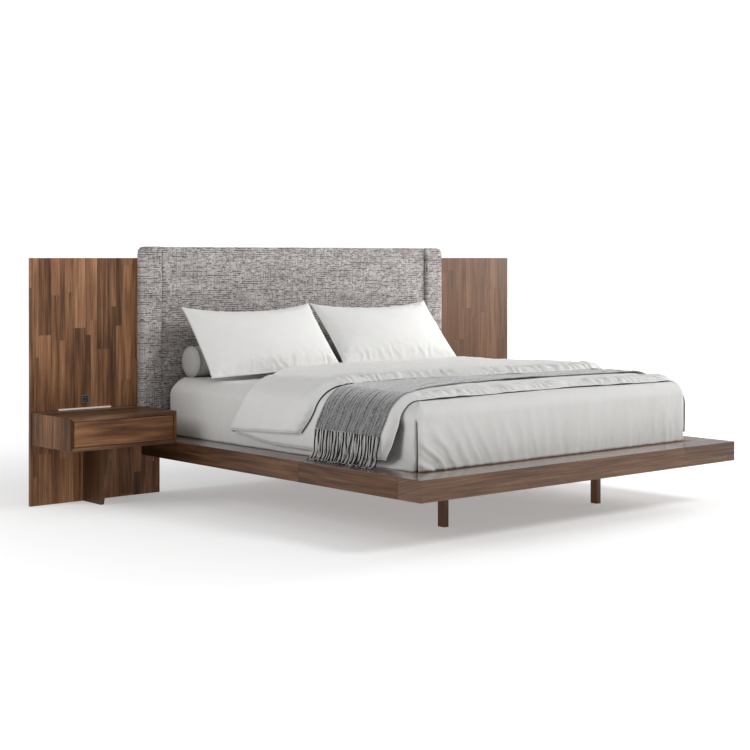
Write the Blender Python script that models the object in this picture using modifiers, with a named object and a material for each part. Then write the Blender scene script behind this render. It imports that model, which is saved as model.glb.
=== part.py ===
"""King-size walnut platform bed with a wide ledge, an upholstered headboard between two tall
wood panels, and a floating nightstand with one drawer on each panel.

Metres, +Z up, +X across the bed, +Y from the foot to the head. The origin is on the floor,
in the middle of the bed's footprint. Pieces that touch keep a gap of GAP.
"""
import bpy
import bmesh
import math
from mathutils import Matrix, Vector

# ---------------------------------------------------------------- driving dimensions
GAP = 0.0003                 # left between pieces that touch

MATTRESS_W = 1.930           # king mattress
MATTRESS_L = 2.030
MATTRESS_TOP = 0.622
MATTRESS_INSET = 0.018       # the mattress stands inside the ledge; its bedding fills the rest

LEDGE_SIDE = 0.155           # ledge around the mattress
LEDGE_FOOT = 0.188
RAIL_BOTTOM = 0.223          # underside of the floating frame
RAIL_TOP = 0.323             # top of the ledge, which the mattress stands on
FOOT_RAIL_W = 0.152          # the foot rail's width; the side rails butt against it
APRON_T = 0.030
BOARD_T = 0.026              # ledge board
DECK_T = 0.018
RAIL_EDGE = 0.0015           # softened edges; the deck's clear the rails' inner corners
DECK_EDGE = 0.0022
CLEAT_W = 0.035              # how far the rail's cleat reaches under the deck
CLEAT_BOTTOM = 0.050         # from the ledge's top to the cleat's underside
HEAD_GAP = 0.078             # from the mattress to the wood panels

PANEL_W = 0.791              # tall wood panels that stand on the floor
PANEL_H = 1.289
PANEL_T = 0.020
PANEL_BESIDE = 0.640         # part of a panel that shows beside the platform

HEADBOARD_TOP = 1.351
WING_W = 0.139               # side pads of the headboard
WING_T = 0.049
CENTRE_PAD_T = 0.030
PAD_JOINT = 0.002

LEG_X = 0.550                # centre of a front leg
LEG_Y_FROM_FOOT = 0.465
LEG_SIZE = (0.030, 0.046)
BEAM_H = 0.038

STAND_W = 0.6305             # nightstand case
STAND_D = 0.400
STAND_BOTTOM = 0.318
STAND_TOP = 0.487
STAND_INSET = 0.006          # from the panel's outer edge
CASE_T = 0.019
REVEAL = 0.003               # around the inset drawer front
FIN_T = 0.019
FIN_X = 1.4425               # middle of the fin's thickness
FIN_FOOT = 0.185             # its depth at the floor
FIN_HEAD = 0.280             # its depth under the nightstand

DRAWER_BOX_H = 0.090
DRAWER_BOX_L = 0.350
DRAWER_SIDE_T = 0.012
DRAWER_BOTTOM_T = 0.006
SLIDE_SPACE = 0.013          # between the drawer's side and the case's side
SLIDE_H = 0.035
SLIDE_L = 0.345
SLIDE_WALL = 0.0012

DUVET_HEAD_Y = 0.440         # the duvet's folded-back edge
DUVET_T = 0.024
DUVET_CLEAR = 0.008
DUVET_LOW = 0.365            # its hem, above the ledge
THROW_T = 0.010
THROW_CLEAR = 0.003
THROW_FOOT_Y, THROW_HEAD_Y = -0.870, -0.260
PILLOW = (0.900, 0.520, 0.190)
PILLOW_LEAN = 42             # degrees back from upright
BOLSTER_L, BOLSTER_R = 1.840, 0.080
LIGHT_NEAR, LIGHT_FAR = 0.161, 0.474      # the light bar's ends, from the panel's outer edge
OUTLET_X, OUTLET_Z = 0.320, 0.541         # the outlet's centre, from the panel's outer edge

# ---------------------------------------------------------------- worked-out places
PLATFORM_W = MATTRESS_W + 2 * LEDGE_SIDE
HALF_W = PLATFORM_W / 2
DEPTH = LEDGE_FOOT + MATTRESS_L + HEAD_GAP + PANEL_T
FOOT_Y = -DEPTH / 2
BACK_Y = DEPTH / 2
PANEL_Y = BACK_Y - PANEL_T                       # front face of the wood panels
WING_Y = PANEL_Y - GAP - WING_T
CENTRE_PAD_Y = PANEL_Y - GAP - CENTRE_PAD_T
RAIL_END_Y = WING_Y - PAD_JOINT
MATTRESS_Y0 = FOOT_Y + LEDGE_FOOT
MATTRESS_Y1 = MATTRESS_Y0 + MATTRESS_L
DECK_BOTTOM = RAIL_TOP - DECK_T
PANEL_OUT = HALF_W + PANEL_BESIDE
PANEL_IN = PANEL_OUT - PANEL_W
STAND_OUT = PANEL_OUT - STAND_INSET
STAND_IN = STAND_OUT - STAND_W
STAND_FRONT = PANEL_Y - GAP - STAND_D
SIDES = (("left", -1), ("right", 1))

WALNUT = (0.16, 0.08, 0.045)
LINEN = (0.72, 0.71, 0.69)


# ---------------------------------------------------------------- helpers
def clear_scene():
    for obj in list(bpy.data.objects):
        bpy.data.objects.remove(obj, do_unlink=True)


def new_collection(name):
    collection = bpy.data.collections.new(name)
    bpy.context.scene.collection.children.link(collection)
    return collection


def material(name, colour, roughness, metallic=0.0):
    mat = bpy.data.materials.new(name)
    mat.use_nodes = True
    shader = mat.node_tree.nodes["Principled BSDF"]
    shader.inputs["Base Color"].default_value = (*colour, 1.0)
    shader.inputs["Roughness"].default_value = roughness
    shader.inputs["Metallic"].default_value = metallic
    return mat


def move_to(obj, collection):
    for old in list(obj.users_collection):
        old.objects.unlink(obj)
    collection.objects.link(obj)


def finish_part(obj, mat, bevel=0.0, segments=2):
    """Put a part in the bed's collection with its own material and softened edges."""
    move_to(obj, BED)
    obj.data.materials.clear()
    own = mat.copy()
    own.name = "mat_" + obj.name
    obj.data.materials.append(own)
    if bevel > 0:
        mod = obj.modifiers.new("edges", "BEVEL")
        mod.width = bevel
        mod.segments = segments
        mod.limit_method = "ANGLE"
        mod.angle_limit = math.radians(30)
    return obj


def block(name, low, high):
    """A box between two corners, its origin in its middle."""
    low, high = Vector(low), Vector(high)
    bpy.ops.mesh.primitive_cube_add(size=1, location=(low + high) / 2)
    obj = bpy.context.object
    obj.name = name
    obj.data.name = name
    obj.data.transform(Matrix.Diagonal((*(high - low), 1)))
    return obj


def box(name, low, high, mat, bevel=0.0, segments=2):
    """A rectangular piece between two corners."""
    return finish_part(block(name, low, high), mat, bevel, segments)


def prism(name, points, thickness, matrix):
    """A flat outline with a thickness; matrix takes its X, Y and normal to the bed's frame."""
    curve = bpy.data.curves.new(name, "CURVE")
    curve.dimensions = "2D"
    curve.fill_mode = "BOTH"
    curve.extrude = thickness / 2
    spline = curve.splines.new("POLY")
    spline.points.add(len(points) - 1)
    for point, (u, v) in zip(spline.points, points):
        point.co = (u, v, 0, 1)
    spline.use_cyclic_u = True
    guide = bpy.data.objects.new(name + "_outline", curve)
    bpy.context.scene.collection.objects.link(guide)
    guide.matrix_world = matrix
    bpy.context.view_layer.update()
    evaluated = guide.evaluated_get(bpy.context.evaluated_depsgraph_get())
    mesh = bpy.data.meshes.new_from_object(evaluated)
    mesh.name = name
    weld = bmesh.new()
    weld.from_mesh(mesh)
    bmesh.ops.remove_doubles(weld, verts=weld.verts, dist=0.00005)
    bmesh.ops.dissolve_limit(weld, angle_limit=0.01, verts=weld.verts, edges=weld.edges)
    bmesh.ops.recalc_face_normals(weld, faces=weld.faces)
    weld.to_mesh(mesh)
    weld.free()
    obj = bpy.data.objects.new(name, mesh)
    obj.matrix_world = matrix
    bpy.data.objects.remove(guide, do_unlink=True)
    bpy.context.scene.collection.objects.link(obj)
    return obj


def outline(name, points, thickness, matrix, mat, bevel=0.0, segments=1):
    """A piece made from a flat outline."""
    return finish_part(prism(name, points, thickness, matrix), mat, bevel, segments)


def frame_matrix(u_axis, v_axis, origin=(0, 0, 0)):
    """A matrix whose local X and Y are the given axes."""
    u_axis, v_axis = Vector(u_axis), Vector(v_axis)
    rotation = Matrix((u_axis, v_axis, u_axis.cross(v_axis))).transposed().to_4x4()
    return Matrix.Translation(origin) @ rotation


def as_cutter(obj):
    """Make a shape that only cuts; it is hidden in renders and left out of the parts."""
    obj.hide_render = True
    obj.display_type = "WIRE"
    move_to(obj, CUTTERS)
    return obj


def cutter(name, low, high):
    return as_cutter(block(name, low, high))


def cut(obj, tool):
    """Subtract a cutter, ahead of the edge bevel."""
    mod = obj.modifiers.new("cut_" + tool.name, "BOOLEAN")
    mod.operation = "DIFFERENCE"
    mod.solver = "EXACT"
    mod.object = tool
    obj.modifiers.move(len(obj.modifiers) - 1, 0)


def mirrored_range(side, near, far):
    """The low and high x of a piece between two distances from the bed's middle."""
    return tuple(sorted((side * near, side * far)))


def hang(obj, parent):
    """Parent a moving piece to the empty on its joint's axis, without moving it."""
    bpy.context.view_layer.update()
    obj.parent = parent
    obj.matrix_parent_inverse = parent.matrix_world.inverted()


# ---------------------------------------------------------------- platform
def rail_profile(ledge):
    """Section of a rail: apron, ledge board, and the cleat that carries the deck."""
    reach = ledge + CLEAT_W
    inner = ledge - CLEAT_W
    deck = RAIL_TOP - DECK_T - GAP
    return [(0, RAIL_BOTTOM), (0, RAIL_TOP), (ledge, RAIL_TOP), (ledge, deck), (reach, deck),
            (reach, RAIL_TOP - CLEAT_BOTTOM), (inner, RAIL_TOP - CLEAT_BOTTOM),
            (inner, RAIL_TOP - BOARD_T), (APRON_T, RAIL_TOP - BOARD_T), (APRON_T, RAIL_BOTTOM)]


def foot_rail():
    """The foot rail runs the full width; its ends are solid, its middle has the rails' section."""
    past = 0.02
    cleat_y = FOOT_Y + FOOT_RAIL_W
    rail = box("foot_rail", (-HALF_W, FOOT_Y, RAIL_BOTTOM),
               (HALF_W, cleat_y + CLEAT_W, RAIL_TOP), WOOD, RAIL_EDGE)
    under = [(FOOT_Y + APRON_T, RAIL_BOTTOM - past), (FOOT_Y + APRON_T, RAIL_TOP - BOARD_T),
             (cleat_y - CLEAT_W, RAIL_TOP - BOARD_T), (cleat_y - CLEAT_W, RAIL_TOP - CLEAT_BOTTOM),
             (cleat_y + CLEAT_W + past, RAIL_TOP - CLEAT_BOTTOM),
             (cleat_y + CLEAT_W + past, RAIL_BOTTOM - past)]
    cut(rail, as_cutter(prism("foot_rail_hollow", under, 2 * (HALF_W - APRON_T),
                              frame_matrix((0, 1, 0), (0, 0, 1)))))
    cut(rail, cutter("foot_rail_rebate", (-HALF_W - past, cleat_y, DECK_BOTTOM - GAP),
                     (HALF_W + past, cleat_y + CLEAT_W + past, RAIL_TOP + past)))
    for name, side in SIDES:
        low, high = mirrored_range(side, HALF_W - LEDGE_SIDE - CLEAT_W, HALF_W + past)
        cut(rail, cutter("foot_rail_notch_" + name, (low, cleat_y, RAIL_BOTTOM - past),
                         (high, cleat_y + CLEAT_W + past, RAIL_TOP + past)))


def side_rails():
    start = FOOT_Y + FOOT_RAIL_W + GAP
    length = RAIL_END_Y - start
    for name, side in SIDES:
        matrix = frame_matrix((-side, 0, 0), (0, 0, 1), (side * HALF_W, start + length / 2, 0))
        outline("side_rail_" + name, rail_profile(LEDGE_SIDE), length, matrix, WOOD, RAIL_EDGE)


def head_rail():
    reach = HALF_W - LEDGE_SIDE - CLEAT_W - GAP
    box("head_rail", (-reach, RAIL_END_Y - 0.045, RAIL_BOTTOM),
        (reach, RAIL_END_Y, DECK_BOTTOM - 2 * GAP), WOOD, 0.0015)


def understructure():
    """Centre beam, two cross beams below it, and the legs that carry them."""
    beam_top = DECK_BOTTOM - 2 * GAP
    cross_top = beam_top - BEAM_H - GAP
    cross_bottom = cross_top - BEAM_H
    foot_cleat = FOOT_Y + FOOT_RAIL_W + CLEAT_W
    box("centre_beam", (-0.035, foot_cleat + GAP, beam_top - BEAM_H),
        (0.035, RAIL_END_Y - 0.045 - GAP, beam_top), BEAM_WOOD, 0.0015)
    cross_reach = HALF_W - APRON_T - GAP
    leg_y = FOOT_Y + LEG_Y_FROM_FOOT
    middle_y = FOOT_Y + 1.30
    for name, y in (("front", leg_y), ("middle", middle_y)):
        box("cross_beam_" + name, (-cross_reach, y - 0.030, cross_bottom),
            (cross_reach, y + 0.030, cross_top), BEAM_WOOD, 0.0015)
    leg_w, leg_d = LEG_SIZE
    legs = [("front_leg_left", -LEG_X, leg_y, cross_bottom),
            ("front_leg_right", LEG_X, leg_y, cross_bottom),
            ("centre_leg_middle", 0.0, middle_y, cross_bottom),
            ("centre_leg_head", 0.0, RAIL_END_Y - 0.075, beam_top - BEAM_H)]
    for name, x, y, top in legs:
        box(name, (x - leg_w / 2, y - leg_d / 2, 0),
            (x + leg_w / 2, y + leg_d / 2, top - GAP), WOOD, 0.002)


def deck():
    """Three deck boards, flush with the ledge, on the rails' cleats and the centre beam."""
    reach = HALF_W - LEDGE_SIDE - GAP
    start = FOOT_Y + FOOT_RAIL_W + GAP
    length = (RAIL_END_Y - start) / 3
    for index, name in enumerate(("foot", "middle", "head")):
        low = start + index * length
        box("deck_" + name, (-reach, low, DECK_BOTTOM), (reach, low + length - 0.001, RAIL_TOP),
            WOOD, DECK_EDGE, 1)


# ---------------------------------------------------------------- headboard and panels
def headboard():
    """Back board between the wood panels, a wide centre pad, and a pad in front of each panel."""
    board = PANEL_IN - 0.002
    box("headboard_back_board", (-board, PANEL_Y, RAIL_BOTTOM), (board, BACK_Y, HEADBOARD_TOP - 0.006),
        PLY, 0.0015)
    pad = HALF_W + 0.001 - WING_W - PAD_JOINT
    box("headboard_centre_pad", (-pad, CENTRE_PAD_Y, RAIL_TOP + 0.007),
        (pad, PANEL_Y - GAP, HEADBOARD_TOP - 0.001), TWEED, 0.010, 3)
    for name, side in SIDES:
        low, high = mirrored_range(side, HALF_W + 0.001 - WING_W, HALF_W + 0.001)
        box("headboard_wing_" + name, (low, WING_Y, RAIL_BOTTOM),
            (high, PANEL_Y - GAP, HEADBOARD_TOP), TWEED, 0.012, 3)
        low, high = mirrored_range(side, 0.58, 0.62)
        leg = PANEL_Y - GAP
        foot = RAIL_END_Y + GAP
        bracket = [(foot, 0.232), (leg, 0.232), (leg, 0.292), (leg - 0.004, 0.292),
                   (leg - 0.004, 0.236), (foot + 0.004, 0.236), (foot + 0.004, 0.292),
                   (foot, 0.292)]
        outline("headboard_bracket_" + name, bracket, high - low,
                frame_matrix((0, 1, 0), (0, 0, 1), ((low + high) / 2, 0, 0)), STEEL)


def side_panels():
    for name, side in SIDES:
        low, high = mirrored_range(side, PANEL_IN, PANEL_OUT)
        box("side_panel_" + name, (low, PANEL_Y, 0), (high, BACK_Y, PANEL_H), WOOD, 0.0015)


# ---------------------------------------------------------------- nightstands
def stand_case(name, side):
    """Four mitred boards, open at the front for the drawer and backed by the wood panel."""
    t = CASE_T
    out, inn = STAND_OUT, STAND_IN
    top, bottom = STAND_TOP, STAND_BOTTOM
    shift = 1.5 * GAP
    matrix = frame_matrix((side, 0, 0), (0, 0, 1), (0, STAND_FRONT + STAND_D / 2, 0))
    boards = {
        "top": [(inn, top), (out, top), (out - t, top - t), (inn + t, top - t)],
        "bottom": [(inn, bottom), (out, bottom), (out - t, bottom + t), (inn + t, bottom + t)],
        "outer_side": [(out, bottom + shift), (out, top - shift),
                       (out - t, top - t - shift), (out - t, bottom + t + shift)],
        "inner_side": [(inn, bottom + shift), (inn, top - shift),
                       (inn + t, top - t - shift), (inn + t, bottom + t + shift)],
    }
    for part, points in boards.items():
        outline(f"stand_{part}_{name}", points, STAND_D, matrix, WOOD, 0.0008)


def support_fin(name, side):
    """Slanted fin that stands on the floor and carries the nightstand."""
    back = PANEL_Y - GAP
    top = STAND_BOTTOM - GAP
    points = [(back, 0), (back - FIN_FOOT, 0), (back - FIN_HEAD, top), (back, top)]
    outline("support_fin_" + name, points, FIN_T,
            frame_matrix((0, 1, 0), (0, 0, 1), (side * FIN_X, 0, 0)), WOOD, 0.0015)


def drawer(name, side):
    """Inset drawer on two side-mounted slides; it slides out towards the foot."""
    joint = bpy.data.objects.new("drawer_slide_axis_" + name, None)
    joint.location = (side * (STAND_IN + STAND_W / 2), STAND_FRONT, (STAND_BOTTOM + STAND_TOP) / 2)
    BED.objects.link(joint)
    case_in, case_out = STAND_IN + CASE_T, STAND_OUT - CASE_T
    floor, ceiling = STAND_BOTTOM + CASE_T, STAND_TOP - CASE_T
    moving = []

    low, high = mirrored_range(side, case_in + REVEAL, case_out - REVEAL)
    front_back = STAND_FRONT + CASE_T
    moving.append(box("drawer_front_" + name, (low, STAND_FRONT + 0.0005, floor + REVEAL),
                      (high, front_back, ceiling - REVEAL), WOOD, 0.0008))

    box_in, box_out = case_in + SLIDE_SPACE, case_out - SLIDE_SPACE
    box_low, box_high = floor + 0.010, floor + 0.010 + DRAWER_BOX_H
    y0, y1 = front_back + GAP, front_back + GAP + DRAWER_BOX_L
    for part, near, far in (("inner", box_in, box_in + DRAWER_SIDE_T),
                            ("outer", box_out - DRAWER_SIDE_T, box_out)):
        low, high = mirrored_range(side, near, far)
        moving.append(box(f"drawer_{part}_side_{name}", (low, y0, box_low), (high, y1, box_high),
                          DRAWER_WOOD, 0.0008))
    low, high = mirrored_range(side, box_in + DRAWER_SIDE_T + GAP, box_out - DRAWER_SIDE_T - GAP)
    moving.append(box("drawer_back_" + name, (low, y1 - DRAWER_SIDE_T, box_low),
                      (high, y1, box_high), DRAWER_WOOD, 0.0008))
    moving.append(box("drawer_bottom_" + name, (low, y0, box_low + 0.006),
                      (high, y1 - DRAWER_SIDE_T - GAP, box_low + 0.006 + DRAWER_BOTTOM_T),
                      DRAWER_WOOD))

    middle = box_low + DRAWER_BOX_H / 2
    slide_y = y0 + SLIDE_L / 2
    for part, wall, turn in (("inner", case_in, 1), ("outer", case_out, -1)):
        matrix = frame_matrix((side * turn, 0, 0), (0, 0, 1), (side * wall, slide_y, middle))
        outline(f"slide_rail_{part}_{name}", channel(GAP, 0.0105, SLIDE_H / 2, SLIDE_WALL),
                SLIDE_L, matrix, STEEL)
        reach = SLIDE_SPACE - GAP
        start = GAP + SLIDE_WALL + 0.0008
        runner = [(start, -0.0105), (start, 0.0105), (reach, 0.0105), (reach, -0.0105)]
        moving.append(outline(f"slide_runner_{part}_{name}", runner, SLIDE_L - 0.006, matrix,
                              STEEL, 0.001))
    for piece in moving:
        hang(piece, joint)


def channel(back, lip, half, wall):
    """C-shaped section that opens away from the case's side."""
    return [(back, -half), (lip, -half), (lip, -half + wall), (back + wall, -half + wall),
            (back + wall, half - wall), (lip, half - wall), (lip, half), (back, half)]


def light_and_outlet(name, side):
    """Light bar on the nightstand's back edge, and a power outlet on the panel above it."""
    low, high = mirrored_range(side, PANEL_OUT - LIGHT_FAR, PANEL_OUT - LIGHT_NEAR)
    box("light_bar_" + name, (low, PANEL_Y - GAP - 0.012, STAND_TOP + GAP),
        (high, PANEL_Y - GAP, STAND_TOP + 0.0085), LIGHT, 0.001)
    x, z, half = side * (PANEL_OUT - OUTLET_X), OUTLET_Z, 0.022
    front = PANEL_Y - GAP - 0.005
    plate = box("power_outlet_" + name, (x - half, front, z - half),
                (x + half, PANEL_Y - GAP, z + half), OUTLET, 0.0008, 1)
    for row, rise in (("upper", 0.009), ("lower", -0.009)):
        cut(plate, cutter(f"outlet_slot_{row}_{name}", (x - 0.009, front - 0.002, z + rise - 0.004),
                          (x + 0.009, front + 0.003, z + rise + 0.004)))


# ---------------------------------------------------------------- bedding
def mattress():
    reach = MATTRESS_W / 2 - MATTRESS_INSET
    box("mattress", (-reach, MATTRESS_Y0 + MATTRESS_INSET, RAIL_TOP + GAP),
        (reach, MATTRESS_Y1, MATTRESS_TOP), LINEN_MAT, 0.045, 4)


def shell(name, low, high, inner_low, inner_high, mat, bevel):
    """A soft cover: a box with a box-shaped hollow that is open below."""
    cover = box(name, low, high, mat, bevel, 3)
    cut(cover, cutter(name + "_hollow", inner_low, inner_high))


def duvet():
    """Duvet over the foot and the middle of the bed, its sides hanging above the ledge."""
    reach = MATTRESS_W / 2 - MATTRESS_INSET + DUVET_CLEAR
    top = MATTRESS_TOP + DUVET_CLEAR
    foot = MATTRESS_Y0 + MATTRESS_INSET - DUVET_CLEAR
    shell("duvet", (-reach - DUVET_T, foot - DUVET_T, DUVET_LOW),
          (reach + DUVET_T, DUVET_HEAD_Y, top + DUVET_T),
          (-reach, foot, DUVET_LOW - 0.01), (reach, DUVET_HEAD_Y + 0.01, top), LINEN_MAT, 0.008)


def throw():
    """Knitted throw across the duvet, hanging down at both sides to just above the ledge."""
    over_duvet = DUVET_CLEAR + DUVET_T + THROW_CLEAR
    reach = MATTRESS_W / 2 - MATTRESS_INSET + over_duvet
    top = MATTRESS_TOP + over_duvet
    low = RAIL_TOP + 0.006
    shell("throw", (-reach - THROW_T, THROW_FOOT_Y, low), (reach + THROW_T, THROW_HEAD_Y, top + THROW_T),
          (-reach, THROW_FOOT_Y - 0.01, low - 0.01), (reach, THROW_HEAD_Y + 0.01, top), THROW_MAT,
          0.004)


def cushion(name, size, centre, lean, turn, mat):
    """A knife-edged cushion: one crowned half, mirrored at its seam."""
    width, height, thickness = size
    half = bmesh.new()
    bmesh.ops.create_grid(half, x_segments=14, y_segments=10, size=0.5)
    for vert in half.verts:
        u, v = vert.co.x * 2, vert.co.y * 2
        crown = max(0.0, (1 - abs(u) ** 2.6) * (1 - abs(v) ** 2.4)) ** 0.6
        pull_u = 1 - 0.05 * (1 - v * v)
        pull_v = 1 - 0.05 * (1 - u * u)
        vert.co = (u * width / 2 * pull_v, v * height / 2 * pull_u, crown * thickness / 2)
    mesh = bpy.data.meshes.new(name)
    half.to_mesh(mesh)
    half.free()
    obj = bpy.data.objects.new(name, mesh)
    bpy.context.scene.collection.objects.link(obj)
    obj.location = centre
    obj.rotation_euler = (math.radians(90 - lean), 0, math.radians(turn))
    mirror = obj.modifiers.new("other_half", "MIRROR")
    mirror.use_axis = (False, False, True)
    mirror.merge_threshold = 0.0001
    finish_part(obj, mat)


def pillows_and_bolster():
    cushion("pillow_left", PILLOW, (-0.508, 0.770, 0.850), PILLOW_LEAN, 1.0, LINEN_MAT)
    cushion("pillow_right", PILLOW, (0.400, 0.785, 0.850), PILLOW_LEAN, -1.0, LINEN_MAT)
    bpy.ops.mesh.primitive_cylinder_add(vertices=40, radius=BOLSTER_R, depth=BOLSTER_L,
                                        location=(0, 1.000, MATTRESS_TOP + 0.006 + BOLSTER_R),
                                        rotation=(0, math.pi / 2, 0))
    bolster = bpy.context.object
    bolster.name = "bolster"
    bolster.data.name = "bolster"
    finish_part(bolster, LINEN_MAT, 0.012, 2)


# ---------------------------------------------------------------- build
clear_scene()
BED = new_collection("platform_bed")
CUTTERS = new_collection("cutters")

WOOD = material("walnut", WALNUT, 0.45)
BEAM_WOOD = material("beam_wood", (0.13, 0.075, 0.045), 0.6)
PLY = material("backing_cloth", (0.05, 0.05, 0.05), 0.9)
DRAWER_WOOD = material("drawer_wood", (0.30, 0.19, 0.11), 0.55)
TWEED = material("tweed", (0.30, 0.28, 0.27), 0.95)
LINEN_MAT = material("linen", LINEN, 0.9)
THROW_MAT = material("throw_wool", (0.24, 0.24, 0.24), 0.95)
STEEL = material("steel", (0.55, 0.55, 0.56), 0.35, 1.0)
LIGHT = material("light_diffuser", (0.90, 0.78, 0.72), 0.4)
OUTLET = material("outlet_metal", (0.25, 0.24, 0.23), 0.4, 0.6)

foot_rail()
side_rails()
head_rail()
understructure()
deck()
headboard()
side_panels()
for SIDE_NAME, SIDE in SIDES:
    stand_case(SIDE_NAME, SIDE)
    support_fin(SIDE_NAME, SIDE)
    drawer(SIDE_NAME, SIDE)
    light_and_outlet(SIDE_NAME, SIDE)
mattress()
duvet()
throw()
pillows_and_bolster()
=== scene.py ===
"""Looks of a king-size walnut platform bed: camera, light, wood, tweed and the dressed bedding.

Metres, +Z up, +X across the bed, +Y from the foot to the head, as in the CAD frame.
"""
import math

import bpy
import numpy as np
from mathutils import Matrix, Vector, noise


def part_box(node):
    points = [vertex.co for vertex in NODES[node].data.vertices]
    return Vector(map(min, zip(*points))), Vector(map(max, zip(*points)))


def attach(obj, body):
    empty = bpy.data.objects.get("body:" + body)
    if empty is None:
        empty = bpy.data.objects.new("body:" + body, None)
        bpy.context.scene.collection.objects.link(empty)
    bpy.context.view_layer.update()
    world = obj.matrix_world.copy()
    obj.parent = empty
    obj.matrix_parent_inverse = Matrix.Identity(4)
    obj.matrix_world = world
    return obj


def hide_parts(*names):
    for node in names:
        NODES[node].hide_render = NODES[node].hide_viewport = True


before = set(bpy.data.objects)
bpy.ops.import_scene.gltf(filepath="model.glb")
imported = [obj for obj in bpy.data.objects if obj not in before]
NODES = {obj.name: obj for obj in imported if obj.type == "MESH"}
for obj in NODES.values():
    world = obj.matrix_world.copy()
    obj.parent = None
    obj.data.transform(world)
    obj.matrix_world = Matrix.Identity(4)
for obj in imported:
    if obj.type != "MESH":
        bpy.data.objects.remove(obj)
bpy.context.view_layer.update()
SIDES = (("left", -1), ("right", 1))

# ---------------- places read from the frame
MATTRESS_LOW, MATTRESS_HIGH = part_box("mattress")
LEDGE_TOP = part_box("foot_rail")[1].z
PANEL_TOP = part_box("side_panel_left")[1].z

SHEET_HALF = MATTRESS_HIGH.x + 0.016      # the sheet's face at the sides
SHEET_FOOT = MATTRESS_LOW.y - 0.016       # and at the foot
SHEET_HEAD = MATTRESS_HIGH.y + 0.016
SHEET_TOP = MATTRESS_HIGH.z + 0.011
ROLL = 0.080                              # radius of the mattress's rolled side edges
FOOT_ROLL = 0.055                         # and of the one at its foot


# ---------------- camera, light and floor
def place_object(name, data, location=(0, 0, 0)):
    obj = bpy.data.objects.new(name, data)
    obj.location = location
    bpy.context.scene.collection.objects.link(obj)
    return obj


def camera():
    data = bpy.data.cameras.new("camera")
    data.lens = 75.0
    data.sensor_width = 36.0
    data.shift_y = -0.156
    cam = place_object("camera", data, (-5.694, -6.158, PANEL_TOP))
    cam.rotation_euler = (math.radians(90), 0, math.radians(-40.77))
    bpy.context.scene.camera = cam


def area_light(name, place, aim, size, power, spread=180):
    data = bpy.data.lights.new(name, "AREA")
    data.shape = "RECTANGLE"
    data.size, data.size_y = size
    data.energy = power
    data.spread = math.radians(spread)
    lamp = place_object(name, data, place)
    lamp.rotation_euler = (Vector(aim) - Vector(place)).to_track_quat("-Z", "Y").to_euler()


def studio():
    world = bpy.data.worlds.new("studio")
    bpy.context.scene.world = world
    world.use_nodes = True
    tree = world.node_tree
    light = tree.nodes["Background"]
    light.inputs["Strength"].default_value = 0.42
    backdrop = tree.nodes.new("ShaderNodeBackground")
    backdrop.inputs["Strength"].default_value = 1.05
    for sky in (light, backdrop):
        sky.inputs["Color"].default_value = (1.0, 1.0, 1.0, 1.0)
    seen = tree.nodes.new("ShaderNodeLightPath").outputs["Is Camera Ray"]
    choose = tree.nodes.new("ShaderNodeMixShader")
    tree.links.new(seen, choose.inputs[0])
    tree.links.new(light.outputs[0], choose.inputs[1])
    tree.links.new(backdrop.outputs[0], choose.inputs[2])
    tree.links.new(choose.outputs[0], tree.nodes["World Output"].inputs["Surface"])
    area_light("key_front", (2.8, -6.0, 5.6), (0, 0, 0.7), (2.2, 2.2), 280)
    area_light("key_right", (4.8, -0.4, 2.0), (0.6, 0.7, 0.9), (1.6, 1.6), 50, 90)
    area_light("key_left", (-6.0, 1.2, 3.2), (-1.0, 0.2, 0.5), (2.4, 2.4), 88)
    bpy.ops.mesh.primitive_plane_add(size=60, location=(0, 0, 0))
    floor = bpy.context.object
    floor.name = "floor"
    n = new_material("floor_white")
    # painted light: the floor glows, faintly beside the bed and more further out, lifting the shade under the
    # bed and keeping the far floor white
    away = n.make("ShaderNodeVectorMath", {0: n.position()}, "Value", operation="LENGTH")
    glow = n.ramp(away / 12.0, [(0.14, 0.33), (0.20, 0.39), (0.28, 0.48), (0.60, 0.85)])
    n.look(Base_Color=(0.76, 0.76, 0.76, 1), Roughness=0.9, Specular_IOR_Level=0.1,
           Emission_Color=(1.0, 1.0, 1.0, 1), Emission_Strength=glow)
    floor.data.materials.append(n.mat)
    bpy.context.scene.view_settings.view_transform = "Standard"


# ---------------- material helpers
class Term:
    """A shader value: ordinary arithmetic on it adds Math nodes."""

    def __init__(self, nodes, socket):
        self.nodes, self.socket = nodes, socket

    def math(self, operation, *others):
        return self.nodes.make("ShaderNodeMath", dict(enumerate((self, *others))), operation=operation)

    def __add__(self, other):
        return self.math("ADD", other)

    def __sub__(self, other):
        return self.math("SUBTRACT", other)

    def __mul__(self, other):
        return self.math("MULTIPLY", other)

    def __truediv__(self, other):
        return self.math("DIVIDE", other)

    def __abs__(self):
        return self.math("ABSOLUTE")

    def floor(self):
        return self.math("FLOOR")

    def threads(self, pitch):
        """Round humps, one for each pitch."""
        return abs((self * (math.pi / pitch)).math("SINE"))


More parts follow.
